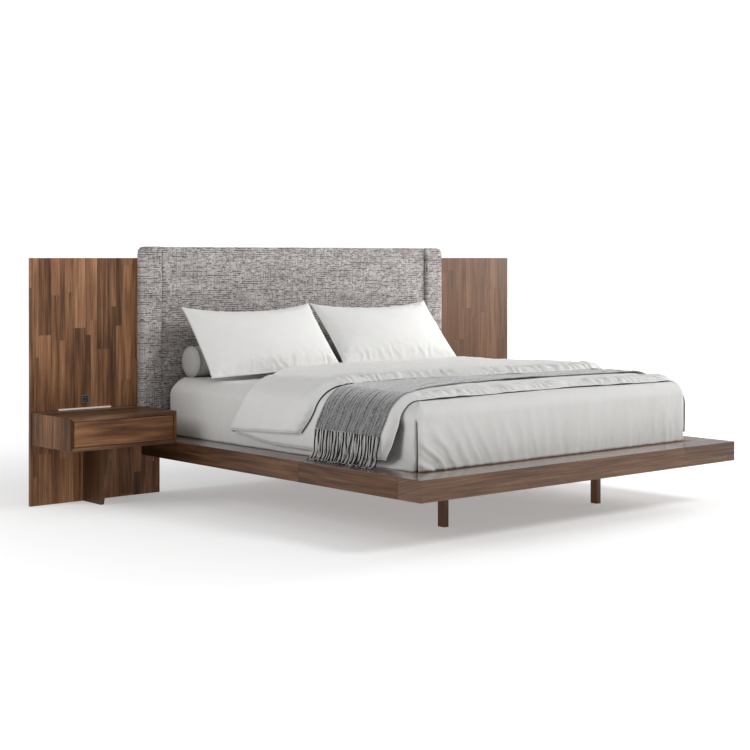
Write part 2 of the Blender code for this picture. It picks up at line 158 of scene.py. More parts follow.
class Nodes:
    """Short calls for building one material's node tree."""

    def __init__(self, mat):
        self.mat, self.tree = mat, mat.node_tree
        self.shader = self.tree.nodes["Principled BSDF"]

    def put(self, socket, value):
        """Link a socket, or set its constant."""
        if isinstance(value, Term):
            self.tree.links.new(value.socket, socket)
        else:
            socket.default_value = value

    def look(self, **values):
        """Set or link the shader's own sockets, named with _ for each space."""
        for name, value in values.items():
            self.put(self.shader.inputs[name.replace("_", " ")], value)

    def make(self, kind, inputs, output=0, **settings):
        """Add a node, its inputs linked or set, and give back one of its outputs."""
        node = self.tree.nodes.new(kind)
        for key, value in settings.items():
            setattr(node, key, value)
        for key, value in inputs.items():
            self.put(node.inputs[key], value)
        return Term(self, node.outputs[output])

    def combine(self, *parts):
        return self.make("ShaderNodeCombineXYZ", dict(enumerate(parts)))

    def split(self, vector):
        node = self.make("ShaderNodeSeparateXYZ", {0: vector}).socket.node
        return [Term(self, socket) for socket in node.outputs]

    def noise(self, vector, scale, detail=3.0, roughness=0.5):
        return self.make("ShaderNodeTexNoise", {"Vector": vector, "Scale": scale, "Detail": detail,
                                                "Roughness": roughness}, "Fac")

    def random(self, *parts):
        return self.make("ShaderNodeTexWhiteNoise", {"Vector": self.combine(*parts)}, "Value",
                         noise_dimensions="3D")

    def ramp(self, factor, stops):
        term = self.make("ShaderNodeValToRGB", {"Fac": factor}, "Color")
        points = term.socket.node.color_ramp.elements
        while len(points) < len(stops):
            points.new(0.5)
        for point, (place, colour) in zip(points, stops):
            point.position = place
            point.color = (*(colour if hasattr(colour, "__len__") else (colour,) * 3), 1)
        return term

    def mix(self, factor, a, b, mode="MIX"):
        a, b = ((*value, 1) if hasattr(value, "__len__") else value for value in (a, b))
        return self.make("ShaderNodeMix", {0: factor, 6: a, 7: b}, 2, data_type="RGBA", blend_type=mode)

    def position(self):
        """Metres in the bed's frame, which stay with a piece that moves."""
        return self.make("ShaderNodeTexCoord", {}, "Object")

    def attribute(self, name):
        return self.make("ShaderNodeAttribute", {}, "Vector", attribute_name=name)

    def facing_up(self):
        """How far a face looks up: 1 on a level top."""
        return self.split(self.make("ShaderNodeNewGeometry", {}, "Normal"))[2]

    def bump(self, height, distance, strength):
        self.look(Normal=self.make("ShaderNodeBump", {"Strength": strength, "Distance": distance,
                                                      "Height": height}, "Normal"))


def new_material(name):
    mat = bpy.data.materials.new(name)
    mat.use_nodes = True
    return Nodes(mat)


# ---------------- wood
WALNUT = [(0.0, (0.022, 0.0086, 0.0036)), (0.30, (0.070, 0.0290, 0.0118)),
          (0.55, (0.142, 0.0635, 0.0275)), (0.80, (0.220, 0.110, 0.054)), (1.0, (0.300, 0.168, 0.092))]


def walnut(name, grain, stave, stave_length, tone, seed, width_axis, contrast=1.0,
           gloss=0.42, specular=0.28, drift=0.0, start=0.0, waxed_top=0.0):
    """Oiled walnut in glued staves, with growth rings, pores and a tone for each stave.

    Drift makes the wood paler along its grain, by that much a metre from the start: painted shade, darker
    towards where neighbouring parts shade it.
    A waxed top has a clear coat on the faces that look up.
    """
    n = new_material(name)
    axes = dict(zip("XYZ", n.split(n.position())))
    along, across = axes[grain], axes[width_axis]
    depth = axes[({"X", "Y", "Z"} - {grain, width_axis}).pop()]

    # staves of uneven width, each made of lengths that end at different places
    cell = (across + (10.0 + seed)) / stave
    cell = cell + (cell * 1.9).math("SINE") * 0.30
    row = cell.floor()
    run = (along + 10.0) / stave_length + n.random(row, 3.7 + seed, 0.0) * 7.0
    piece = run.floor()
    stave_tone = n.random(row, piece, seed)

    # growth rings, drawn out along the grain and different in each stave
    offset = n.random(piece, row, seed + 5.0) * 9.0
    warp = n.noise(n.combine(along * 1.6, across * 9.0, offset + depth), 1.0, 2.0)
    rings = across * 34.0 + warp * 5.5 + stave_tone * 12.0
    rings = (rings * 3.2).math("SINE") * 0.5 + 0.5
    streak = n.noise(n.combine(along * 3.0, (across + depth * 0.3) * 120.0, offset), 1.0, 4.0, 0.6)
    cloud = n.noise(n.combine(along * 2.2, across * 14.0, offset), 1.0, 3.0, 0.55)
    pores = n.noise(n.combine(along * 45.0, across * 1100.0, depth * 1100.0), 1.0, 2.0)

    shade = ((rings - 0.5) * (0.16 * contrast) + (streak - 0.5) * (1.15 * contrast)
             + (cloud - 0.5) * (0.80 * contrast) + (stave_tone - 0.5) * (0.42 * contrast) + 0.52)
    # painted shade: the drift darkens the wood along its grain towards the end that neighbouring parts shade
    if drift:
        shade = shade + (along - start) * drift
    colour = n.ramp(shade, [(place, [part * tone for part in rgb]) for place, rgb in WALNUT])
    colour = n.mix(0.55, colour, n.ramp(pores, [(0.30, 0.55), (0.43, 1.0)]), "MULTIPLY")

    # thin dark glue lines between staves and at their ends
    end = run.math("PINGPONG", 0.5) * (stave_length / stave)
    seam = n.ramp(cell.math("PINGPONG", 0.5).math("MINIMUM", end), [(0.0, 0.62), (0.022, 1.0)])
    n.look(Base_Color=n.mix(1.0, colour, seam, "MULTIPLY"),
           Roughness=n.ramp(streak, [(0.2, gloss - 0.08), (0.8, gloss + 0.10)]),
           Specular_IOR_Level=specular)
    if waxed_top:
        n.look(Coat_Weight=n.facing_up().math("GREATER_THAN", 0.7) * waxed_top,
               Coat_Roughness=0.22, Coat_IOR=2.2)
    n.bump(pores * 0.6 + streak * 0.4, 0.0006, 0.5)
    return n.mat


def assign(mat, *names):
    for name in names:
        slots = NODES[name].material_slots
        for slot in slots:
            slot.material = mat
        if not slots:
            NODES[name].data.materials.append(mat)


def metal(name, colour, roughness, grain_axis="Y"):
    """Brushed zinc or steel: fine lines along one axis."""
    n = new_material(name)
    stretched = [part * (20 if axis == grain_axis else 900)
                 for axis, part in zip("XYZ", n.split(n.position()))]
    lines = n.noise(n.combine(*stretched), 1.0)
    n.look(Base_Color=n.mix(lines, [c * 0.8 for c in colour], colour),
           Roughness=n.ramp(lines, [(0.3, roughness), (0.7, roughness + 0.15)]), Metallic=1.0)
    n.bump(lines, 0.0001, 0.4)
    return n.mat


def plastic(name, colour, roughness, glow=0.0):
    n = new_material(name)
    grit = n.noise(n.position(), 900.0, 2.0)
    n.look(Base_Color=n.mix(grit, [c * 0.94 for c in colour], colour),
           Roughness=n.ramp(grit, [(0.3, roughness), (0.7, roughness + 0.1)]))
    if glow:
        n.look(Emission_Color=(*colour, 1), Emission_Strength=glow)
    n.bump(grit, 0.00008, 0.5)
    return n.mat


def outlet(name, node):
    """Power outlet: a brushed frame round a dark face, its two sockets edged in metal."""
    low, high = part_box(node)
    centre, half = (low + high) / 2, (high - low) / 2
    n = Nodes(metal(name, (0.20, 0.19, 0.18), 0.35, "X"))
    brushed = Term(n, n.shader.inputs["Base Color"].links[0].from_socket)
    x, _, z = n.split(n.position())
    across, up = abs(x - centre.x) / half.x, abs(z - centre.z) / half.z
    frame_part = across.math("MAXIMUM", up).math("GREATER_THAN", 0.74)
    bar = abs(up - 0.34).math("LESS_THAN", 0.10) * across.math("LESS_THAN", 0.50)
    bright = frame_part.math("MAXIMUM", bar)
    n.look(Base_Color=n.mix(bright, (0.012, 0.012, 0.012), brushed), Metallic=bright)
    return n.mat


# ---------------- cloth materials
def tweed(name):
    """Black, grey and white tweed: broken thin dark threads both ways over a pale mottled ground."""
    n = new_material(name)
    x, y, z = n.split(n.position())
    side = x + y
    wander = n.noise(n.combine(side * 6.0, 0.0, z * 14.0), 1.0)

    def threads(across, along, pitch, length, width, share, seed):
        """Dark threads at a pitch, each broken at random along its run."""
        turn = across / pitch + wander * 0.8
        index = turn.floor()
        line = n.ramp(turn.math("FRACT"), [(0.0, 0.0), (0.08, 1.0), (width, 1.0), (width + 0.10, 0.0)])
        run = along / length + n.random(index, seed, 0.0) * 31.0
        whole = n.ramp(n.random(index, run.floor(), seed), [(0.85 - share, 0.0), (1.15 - share, 1.0)])
        return n.mix(1.0, line, whole, "MULTIPLY")

    loops = n.random((side / 0.0105).floor(), (z / 0.0058).floor(), 7.0)
    patch = n.noise(n.combine(x * 4.0, y, z * 9.0), 1.0, 3.0)
    colour = n.ramp(loops * 0.50 + patch * 0.7, [(0.25, (0.290, 0.260, 0.250)), (0.60, (0.430, 0.398, 0.386)),
                                                 (0.95, (0.600, 0.570, 0.555))])
    across = threads(z, side, 0.0118, 0.034, 0.34, 0.42, 3.0)
    down = threads(side, z, 0.0124, 0.045, 0.22, 0.38, 5.0)
    short = threads(z, side, 0.0071, 0.013, 0.55, 0.16, 9.0)
    colour = n.mix(across * 0.85, colour, (0.075, 0.060, 0.057))
    colour = n.mix(down * 0.72, colour, (0.075, 0.062, 0.060))
    colour = n.mix(short * 0.80, colour, (0.035, 0.028, 0.027))
    fibre = n.noise(n.combine(side * 260.0, y, z * 1500.0), 1.0, 3.0)
    colour = n.mix(0.4, colour, n.ramp(fibre, [(0.3, 0.6), (0.7, 1.2)]), "MULTIPLY")
    n.look(Base_Color=colour, Roughness=0.95, Specular_IOR_Level=0.15, Sheen_Weight=0.12)
    n.bump(z.threads(0.0058) * 0.6 + side.threads(0.0052) * 0.4 + fibre * 0.5, 0.0016, 0.6)
    return n.mat


def woven(name, colour, thread=0.0011, slub=0.25, coords=None):
    """Plain-woven cotton or linen: crossing threads, slubs, and a faint change of tone."""
    n = new_material(name)
    place = n.attribute(coords) if coords else n.position()
    x, y, z = n.split(place)
    u, v = (x, y) if coords else (x + z * 0.31, y + z)
    slubs = (n.noise(n.combine(u * 35.0, v * 700.0, 0.0), 1.0)
             + n.noise(n.combine(u * 700.0, v * 35.0, 4.0), 1.0))
    mottled = n.mix(n.noise(place, 6.0, 4.0, 0.6), [c * 0.94 for c in colour], [c * 1.03 for c in colour])
    n.look(Base_Color=n.mix(slub, mottled, n.ramp(slubs, [(0.6, 0.82), (1.35, 1.1)]), "MULTIPLY"),
           Roughness=n.ramp(slubs, [(0.6, 0.88), (1.4, 0.98)]), Specular_IOR_Level=0.2, Sheen_Weight=0.12)
    n.bump((v.threads(thread) + u.threads(thread)) * 0.35 + slubs * 0.4, 0.0005, 0.6)
    return n.mat


def knit(name):
    """Grey mélange knit, ribbed along the throw, with broken dark lines between the ribs."""
    stitch_length, stitch_width = 0.0050, 0.0036
    n = new_material(name)
    u, v, _ = n.split(n.attribute("cloth"))
    rib = v / 0.0215
    rib_index = rib.floor()
    wide = n.ramp(rib.math("FRACT"), [(0.0, 0.0), (0.06, 1.0), (0.24, 1.0), (0.32, 0.0), (0.56, 0.0),
                                      (0.62, 0.45), (0.72, 0.45), (0.78, 0.0)])
    stitch = (u / 0.0155 + rib_index * 0.37).math("FRACT")
    broken = n.ramp(stitch, [(0.0, 0.35), (0.12, 1.0), (0.62, 1.0), (0.76, 0.35)])
    strength = n.ramp(n.random(rib_index, 2.0, 0.0), [(0.2, 0.45), (0.7, 1.0)])
    dark = n.mix(1.0, n.mix(1.0, wide, broken, "MULTIPLY"), strength, "MULTIPLY")
    heather = n.noise(n.combine(u * 300.0, v * 700.0, 0.0), 1.0, 3.0)
    loops = n.random((u / stitch_length).floor(), (v / stitch_width).floor(), 1.0)
    colour = n.ramp(heather * 0.6 + loops * 0.4, [(0.2, (0.110, 0.111, 0.114)), (0.5, (0.225, 0.227, 0.230)),
                                                  (0.8, (0.40, 0.40, 0.405))])
    # painted highlight: faces that look up are mixed towards a paler grey, for the light the throw's top
    # catches
    painted_top_light = n.ramp(n.facing_up(), [(0.35, 0.0), (0.9, 0.30)])
    colour = n.mix(painted_top_light, colour, (0.60, 0.60, 0.605))
    n.look(Base_Color=n.mix(dark, colour, (0.045, 0.045, 0.048)), Roughness=0.95,
           Specular_IOR_Level=0.12, Sheen_Weight=1.0, Sheen_Roughness=0.35)
    ribs = abs((rib * math.pi).math("SINE"))
    n.bump((v.threads(stitch_width) + u.threads(stitch_length)) * 0.3 + ribs, 0.0026, 0.8)
    return n.mat


def yarn(name, colour):
    """Twisted wool yarn, for the fringe."""
    n = new_material(name)
    fibre = n.noise(n.position(), 900.0, 3.0)
    n.look(Base_Color=n.mix(fibre, [c * 0.6 for c in colour], colour), Roughness=0.95,
           Specular_IOR_Level=0.1)
    n.bump(fibre, 0.0008, 0.8)
    return n.mat


# ---------------- mesh helpers
def link_mesh(name, vertices, faces, mat, cloth=None):
    mesh = bpy.data.meshes.new(name)
    mesh.from_pydata([tuple(v) for v in vertices], [], faces)
    mesh.validate()
    if cloth is not None:
        attribute = mesh.attributes.new("cloth", "FLOAT_VECTOR", "POINT")
        attribute.data.foreach_set("vector", np.asarray(cloth, np.float32).ravel())
    mesh.shade_smooth()
    obj = place_object(name, mesh)
    for m in mat if isinstance(mat, (list, tuple)) else [mat]:
        mesh.materials.append(m)
    return obj


def apply_modifiers(obj):
    """Replace the object's mesh by what its modifiers make of it."""
    bpy.context.view_layer.update()
    graph = bpy.context.evaluated_depsgraph_get()
    mesh = bpy.data.meshes.new_from_object(obj.evaluated_get(graph))
    old = obj.data
    obj.modifiers.clear()
    obj.data = mesh
    bpy.data.meshes.remove(old)
    mesh.shade_smooth()


def declare(obj, slot, *nodes):
    """Put a piece on the fixed bed, in place of CAD nodes if it has any; the slot is not used."""
    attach(obj, "bed")
    if nodes:
        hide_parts(*nodes)


def smoothstep(x, low, high):
    t = np.clip((x - low) / (high - low), 0.0, 1.0)
    return t * t * (3 - 2 * t)


def bumps(points, scale, seed, octaves=3):
    """Smooth noise, from about -1 to 1, at each point of an (n, m, 3) grid."""
    flat = points.reshape(-1, 3) * scale + seed
    values = [noise.fractal(Vector(p), 0.9, 2.0, octaves) for p in flat]
    return np.array(values).reshape(points.shape[:-1])


def flat_cloth(u, v):
    """Each point's place on the flat cloth, in metres."""
    return np.stack(np.broadcast_arrays(u, v, 0.0), axis=-1)


def grid_normals(points):
    normal = np.cross(np.gradient(points, axis=0), np.gradient(points, axis=1))
    return normal / np.maximum(np.linalg.norm(normal, axis=2, keepdims=True), 1e-9)


def bands(rings, count, start=0):
    """Quads between neighbouring closed rings of vertices."""
    quads = []
    for i in range(rings - 1):
        for j in range(count):
            a, b = start + i * count + j, start + i * count + (j + 1) % count
            quads.append((a, a + count, b + count, b))
    return quads


def puffed(name, middle, thickness, mat, cloth, flip=False):
    """A closed quilt round an (n, m, 3) middle surface: its two faces meet along the edges."""
    n, m = middle.shape[:2]
    normal = grid_normals(middle) * (-1 if flip else 1)
    offset = normal * thickness[..., None] / 2
    vertices = np.concatenate([middle + offset, middle - offset]).reshape(-1, 3)
    faces = []
    count = n * m
    for i in range(n - 1):
        for j in range(m - 1):
            a, b, c, d = i * m + j, i * m + j + 1, (i + 1) * m + j + 1, (i + 1) * m + j
            top = (a, b, c, d) if flip else (a, d, c, b)
            faces.append(top)
            faces.append(tuple(count + k for k in reversed(top)))
    ring = ([(0, j) for j in range(m)] + [(i, m - 1) for i in range(1, n)]
            + [(n - 1, j) for j in range(m - 2, -1, -1)] + [(i, 0) for i in range(n - 2, 0, -1)])
    loop = [i * m + j for i, j in ring]
    for k, first in enumerate(loop):
        second = loop[(k + 1) % len(loop)]
        side = (first, second, count + second, count + first)
        faces.append(side if flip else tuple(reversed(side)))
    return link_mesh(name, vertices, faces, mat, np.concatenate([cloth.reshape(-1, 3)] * 2))


def tube(path, radius, sides=8):
    """Vertices and faces of a closed tube round an (n, 3) path; radius may vary along it."""
    path = np.asarray(path, float)
    radius = np.broadcast_to(radius, len(path))
    tangent = np.gradient(path, axis=0)
    tangent /= np.linalg.norm(tangent, axis=1, keepdims=True)
    up = np.array([0.0, 0.0, 1.0]) if abs(tangent[0][2]) < 0.9 else np.array([0.0, 1.0, 0.0])
    vertices = []
    angles = np.linspace(0, 2 * math.pi, sides, endpoint=False)
    for k, (p, t) in enumerate(zip(path, tangent)):
        side = np.cross(t, up)
        side /= np.linalg.norm(side)
        up = np.cross(side, t)
        for angle in angles:
            vertices.append(p + radius[k] * (math.cos(angle) * side + math.sin(angle) * up))
    last = (len(path) - 1) * sides
    ends = [tuple(range(sides)), tuple(last + j for j in reversed(range(sides)))]
    return vertices, bands(len(path), sides) + ends


def joined_tubes(name, tubes, mats):
    """Many tubes as one piece; each is (path, radius, material index)."""
    vertices, faces, which = [], [], []
    for path, radius, index in tubes:
        v, f = tube(path, radius)
        start = len(vertices)
        vertices += v
        faces += [tuple(start + k for k in face) for face in f]
        which += [index] * len(f)
    obj = link_mesh(name, vertices, faces, mats)
    obj.data.polygons.foreach_set("material_index", which)
    return obj


# ---------------- the bed's dressed shape
def layer(s, y, lift):
    """Cloth at a height over the sheet: s runs across the sheet and down its sides."""
    flat = SHEET_HALF - ROLL
    lift = lift + 0.060 * smoothstep(s, 0.90, 1.06)     # the right side stands off further
    roll, foot_roll = ROLL + lift, FOOT_ROLL + lift
    angle = np.clip((np.abs(s) - flat) / ROLL, 0, math.pi / 2)
    drop = np.maximum(np.abs(s) - flat - ROLL * math.pi / 2, 0)
    reach = np.clip((SHEET_FOOT + FOOT_ROLL - y) / foot_roll, 0, 0.97)
    shrink = 1 - np.sqrt(1 - reach ** 2)
    x = np.minimum(np.abs(s), flat) + roll * (1 - shrink) * np.sin(angle)
    z = SHEET_TOP + lift - roll + (roll - foot_roll * shrink) * np.cos(angle) - drop
    return np.stack(np.broadcast_arrays(np.sign(s) * x, y, z), axis=-1)


def along(stations, s, blur=0.035):
    """A smooth curve through a few given (s, y) places."""
    places, values = zip(*stations)
    steps = np.linspace(-2, 2, 9)
    weights = np.exp(-steps ** 2 / 2)
    weights /= weights.sum()
    return sum(w * np.interp(s + blur * step, places, values) for w, step in zip(weights, steps))


def rings_mesh(name, rings, corner, mat, samples, shape=None, close_bottom=False):
    """A skin of rings round the mattress; each ring is (inset, height)."""
    grid = []
    for inset, z in rings:
        ring = rounded_ring(inset, corner, samples)
        grid.append(np.insert(ring, 2, z, axis=1))
    grid = np.array(grid)
    place = grid[..., :3].copy()
    if shape:
        place = shape(place, grid[..., 3:5])
    n, m = place.shape[:2]
    faces = [tuple(range(m))] + bands(n, m)
    if close_bottom:
        faces.append(tuple(n * m - 1 - j for j in range(m)))
    cloth = flat_cloth(place[..., 0], place[..., 1] + SHEET_TOP - place[..., 2])
    return link_mesh(name, place.reshape(-1, 3), faces, mat, cloth.reshape(-1, 3))


def rounded_ring(inset, corner, samples):
    """Plan outline of the mattress, from its head-left corner round by the foot.

    Samples are the numbers of points along each wall and round each corner.
    """
    x1, y0, y1 = SHEET_HALF - inset, SHEET_FOOT + inset, SHEET_HEAD - inset
    corner = max(corner - inset, 0.004)
    rows = []           # x, y and the outward direction of each point
    walls = [((-x1, y1 - corner), (-x1, y0 + corner), (-1, 0)),
             ((-x1 + corner, y0), (x1 - corner, y0), (0, -1)),
             ((x1, y0 + corner), (x1, y1 - corner), (1, 0)),
             ((x1 - corner, y1), (-x1 + corner, y1), (0, 1))]
    for k, (a, b, outward) in enumerate(walls):
        for t in np.linspace(0, 1, samples[0], endpoint=False):
            rows.append((a[0] + (b[0] - a[0]) * t, a[1] + (b[1] - a[1]) * t, *outward))
        nxt = walls[(k + 1) % 4][2]
        centre = (b[0] - outward[0] * corner, b[1] - outward[1] * corner)
        for t in np.linspace(0, 1, samples[1], endpoint=False):
            angle = t * math.pi / 2
            nx = outward[0] * math.cos(angle) + nxt[0] * math.sin(angle)
            ny = outward[1] * math.cos(angle) + nxt[1] * math.sin(angle)
            rows.append((centre[0] + nx * corner, centre[1] + ny * corner, nx, ny))
    return np.array(rows)


def rolled_rings(top, bottom, inset, roll, middle, steps):
    """(inset, height) pairs: the flat top, its rolled edge and the side, from the middle out."""
    rings = [(inset + middle - (middle - roll) * t, top) for t in np.linspace(0, 1, steps, endpoint=False)]
    for angle in np.linspace(0, math.pi / 2, 14):
        rings.append((inset + roll * (1 - math.sin(angle)), top - roll * (1 - math.cos(angle))))
    return rings + [(inset, z) for z in np.linspace(top - roll, bottom, 24)[1:]]


def mattress_core(mat):
    """The mattress inside the bedding, in its ticking, with rounded corners."""
    samples = (24, 12)
    rings = rolled_rings(SHEET_TOP - 0.014, LEDGE_TOP + 0.002, 0.085, ROLL, 0.80, 5)
    obj = rings_mesh("mattress_core", rings, 0.20, mat, samples, close_bottom=True)
    declare(obj, "sheet_linen", "mattress")


def sheet_piece(mat):
    """Top sheet over the mattress, pulled smooth, with a pleat at each foot corner."""
    samples = wall, corner = 140, 24
    rings = rolled_rings(SHEET_TOP, LEDGE_TOP + 0.0015, 0.0, FOOT_ROLL + 0.012, 0.90, 14)

    def shape(place, outward):
        x, y, z = place[..., 0], place[..., 1], place[..., 2]
        depth = SHEET_TOP - z
        side = smoothstep(depth, 0.0, 0.06)
        drop = np.clip(depth / (SHEET_TOP - LEDGE_TOP), 0, 1)
        push = 0.0030 * bumps(place * [1.0, 1.0, 0.35], 5.0, 3.0) * side
        push += 0.0012 * bumps(place * [1.0, 1.0, 0.45], 19.0, 9.0) * side

        # faint upright creases on the sides, more of them near the hem
        down = bumps(place * [1.0, 1.0, 0.10], 26.0, 33.0, 2)
        push += 0.0022 * down * side * (0.35 + 0.65 * smoothstep(drop, 0.3, 1.0))

        # on the foot face the cloth is pulled towards its left corner
        at_foot = smoothstep(-y, -SHEET_FOOT - 0.05, -SHEET_FOOT - 0.01)
        reach = x + SHEET_HALF
        lean = 0.95 * (1 - smoothstep(reach, 0.10, 1.05)) - 0.10
        slant = reach - lean * depth
        warp = 0.030 * bumps(place, 3.2, 21.0) + 0.012 * bumps(place, 9.0, 23.0)
        long_fold = crease((slant + warp) / 0.105)
        short_fold = crease((slant + 1.4 * warp) / 0.047 + 0.3)
        patch = 0.55 + 0.45 * bumps(place * [1, 1, 0.3], 2.6, 44.0)
        left_share = 1 - smoothstep(reach, 0.45, 1.30)
        near_corner = 0.35 + 0.65 * left_share
        push += 0.0054 * long_fold * at_foot * patch * smoothstep(drop, 0.12, 0.75) * near_corner
        push += 0.0032 * short_fold * at_foot * patch * smoothstep(drop, 0.35, 0.95)

        # the sides roll over more softly than the foot
        def roll_inset(radius):
            return radius - np.sqrt(radius ** 2 - np.clip(radius - depth, 0, radius) ** 2)
        edge = np.clip(np.maximum(np.abs(x) / SHEET_HALF, y / SHEET_HEAD), 0, 1)
        flat_top = np.where(depth < 1e-6, edge ** 4, 1)
        sideways = np.abs(outward[..., 0]) ** 2
        soft = np.maximum(sideways, smoothstep(y, 0.80, SHEET_HEAD))
        push -= (roll_inset(0.084) - roll_inset(FOOT_ROLL + 0.012)) * soft * flat_top

        # the pleat: a deep narrow slit down each foot corner, and the hollow and fold beside it
        depth_in = 0.060 * smoothstep(depth, 0.070, 0.105)
        columns = np.arange(place.shape[1])[None, :]
        for centre in (wall + 9, 2 * (wall + corner) - 9):
            push -= depth_in * np.exp(-((columns - centre) / (1.15 + 0.75 * drop)) ** 2)
        on_side = sideways * smoothstep(np.abs(x), SHEET_HALF - 0.060, SHEET_HALF - 0.010)
        back = y - SHEET_FOOT
        hollow = smoothstep(back, 0.045, 0.240) * (1 - smoothstep(back, 0.30, 0.46))
        hollow = hollow * smoothstep(drop, 0.10, 0.40) * smoothstep(1 - drop, 0.0, 0.18) ** 0.7
        fold = np.exp(-((back - 0.050) / 0.026) ** 2) * smoothstep(drop, 0.15, 0.70)
        push += (-0.074 * hollow + 0.004 * fold) * on_side
        place[..., :2] += outward * push[..., None]
        dimple = np.exp(-((reach - 0.045) / 0.032) ** 2 - ((depth - 0.090) / 0.035) ** 2)
        place[..., 1] += 0.010 * dimple * at_foot

        # rounded head corners, more so at the top
        radius = 0.018 + 0.067 * (1 - smoothstep(depth, 0.0, 0.12))
        a = np.maximum(np.abs(place[..., 0]) - (SHEET_HALF - radius), 0)
        b = np.maximum(place[..., 1] - (SHEET_HEAD - radius), 0)
        share = np.where(a * b > 0, np.maximum(a, b) / np.maximum(np.hypot(a, b), 1e-9), 1)
        place[..., 0] -= np.sign(place[..., 0]) * a * (1 - share)
        place[..., 1] -= b * (1 - share)
        place[..., 2] += 0.0022 * bumps(place, 4.0, 40.0) * (1 - side)
        hem = smoothstep(drop, 0.9, 1.0)
        place[..., :2] += outward * (0.004 * hem * (0.5 + 0.5 * bumps(place, 30.0, 52.0)))[..., None]
        return place

    obj = rings_mesh("top_sheet", rings, 0.045, mat, samples, shape)
    solid = obj.modifiers.new("cloth_thickness", "SOLIDIFY")     # grows inwards
    solid.thickness = 0.0022
    solid.offset = -1
    apply_modifiers(obj)
    declare(obj, "sheet_linen")


def crease(phase):
    """Rounded valleys with sharper ridges, from -1 to 1, one for each turn of the phase."""
    wave = 0.5 + 0.5 * np.cos(2 * math.pi * phase)
    return 2 * wave ** 2.2 - 0.8


def pad(name, low, high, radius, mat, crown, step, ripple, seed):
    """A rounded upholstered block, its front swollen by the crown at its middle."""
    low, high = np.array(low, float), np.array(high, float)
    centre, half = (low + high) / 2, (high - low) / 2
    counts = [max(4, int(round(2 * h / step))) for h in half]
    vertices, index, faces = [], {}, []

    def vertex(point):
        key = tuple(np.round(point, 6))
        if key not in index:
            index[key] = len(vertices)
            vertices.append(point)
        return index[key]

    def spread(count, half_size):
        """Sample places along an edge, closer together in the rounded ends."""
        ends = radius * (1 - np.cos(np.linspace(0, math.pi / 2, 7)))
        inner = np.linspace(-half_size + radius, half_size - radius, max(2, count))[1:-1]
        return np.concatenate([-half_size + ends, inner, half_size - ends[::-1]])

    for axis in range(3):
        a, b = [k for k in range(3) if k != axis]
        ticks_a, ticks_b = spread(counts[a], half[a]), spread(counts[b], half[b])
        for sign in (-1, 1):
            for i in range(len(ticks_a) - 1):
                for j in range(len(ticks_b) - 1):
                    quad = []
                    for p, q in ((i, j), (i + 1, j), (i + 1, j + 1), (i, j + 1)):
                        point = np.zeros(3)
                        point[axis] = sign * half[axis]
                        point[a], point[b] = ticks_a[p], ticks_b[q]
                        quad.append(vertex(point))
                    clockwise = (sign > 0) == (axis != 1)
                    faces.append(tuple(quad if clockwise else reversed(quad)))
    points = np.array(vertices)
    inner = np.clip(points, -(half - radius), half - radius)
    away = points - inner
    length = np.linalg.norm(away, axis=1, keepdims=True)
    direction = away / np.maximum(length, 1e-9)
    rounded = inner + direction * radius
    share = rounded / half
    in_front = smoothstep(-share[:, 1], 0.2, 0.98)
    rounded[:, 1] -= crown * in_front * (1 - np.abs(share[:, 0]) ** 6) * (1 - np.abs(share[:, 2]) ** 6)
    wave = bumps(rounded[None] + centre, 7.0, seed)[0]
    rounded += direction * (ripple * wave)[:, None]
    return link_mesh(name, rounded + centre, faces, mat)


# ---------------- duvet
# Places are (s, y): s from the bed's middle, across the top and down the side.
HEM = 1.203                         # where the duvet's hem hangs
FOOT_EDGE = [(-1.21, -0.745), (-1.14, -0.797), (-1.03, -0.845), (-0.975, -0.864), (-0.935, -0.870),
             (-0.90, -0.880), (-0.85, -0.885), (-0.60, -0.855), (-0.40, -0.855), (-0.10, -0.830),
             (0.25, -0.830), (0.55, -0.870), (0.80, -0.905), (0.93, -0.903), (1.0, -0.905), (1.21, -0.900)]
FOLD = [(-1.17, 0.420), (-1.12, 0.383), (-1.08, 0.348), (-1.04, 0.312), (-1.00, 0.282), (-0.97, 0.252),
        (-0.93, 0.215), (-0.90, 0.210), (-0.86, 0.250), (-0.61, 0.500), (-0.48, 0.590), (-0.30, 0.700),
        (0.30, 0.720), (0.80, 0.640), (1.0, 0.560), (1.20, 0.560)]
FREE_EDGE = [(-1.20, -0.100), (-1.13, -0.150), (-1.10, -0.190), (-1.06, -0.228), (-1.00, -0.273),
             (-0.96, -0.292), (-0.92, -0.320), (-0.88, -0.345), (-0.80, -0.330), (-0.66, -0.295),
             (-0.45, -0.285), (-0.22, -0.310), (-0.04, -0.365), (0.27, -0.400), (0.68, -0.450),
             (0.85, -0.430), (1.0, -0.390), (1.20, -0.300)]
DUVET_THICK = 0.027
# heights over the sheet, on the bed's top and where the duvet hangs
BASE_LIFT = (0.019, 0.016)
FOLD_LIFT = (0.048, 0.038)          # the turned-back part's height at the fold
FLAP_LIFT = (0.064, 0.052)          # and near its free edge
TUCK = (0.018, 0.018)               # how far the free edge comes down


def height(pair, s):
    """A height that changes from the bed's top to its sides."""
    return pair[0] + (pair[1] - pair[0]) * smoothstep(np.abs(s), 0.88, 1.02)


def quilt_wave(place, s):
    """Soft unevenness of the quilt's filling, shared by what lies on it."""
    wave = 0.0042 * bumps(place * [0.7, 1.3, 1.0], 4.2, 5.0)
    return wave + 0.0022 * bumps(place * [0.8, 1.5, 1.0], 11.0, 15.0)


def pucker(place, s, distance, pitch, reach, seed):
    """Short uneven creases that run in from a sewn edge."""
    wander = 1.5 * bumps(place, 3.0, seed) + 0.7 * bumps(place, 9.0, seed + 3)
    wave = crease(s / pitch + wander + 0.35 * distance / reach)
    strength = 0.55 + 0.6 * bumps(place, 5.0, seed + 7)
    return wave * strength * np.exp(-(distance / reach) ** 2)


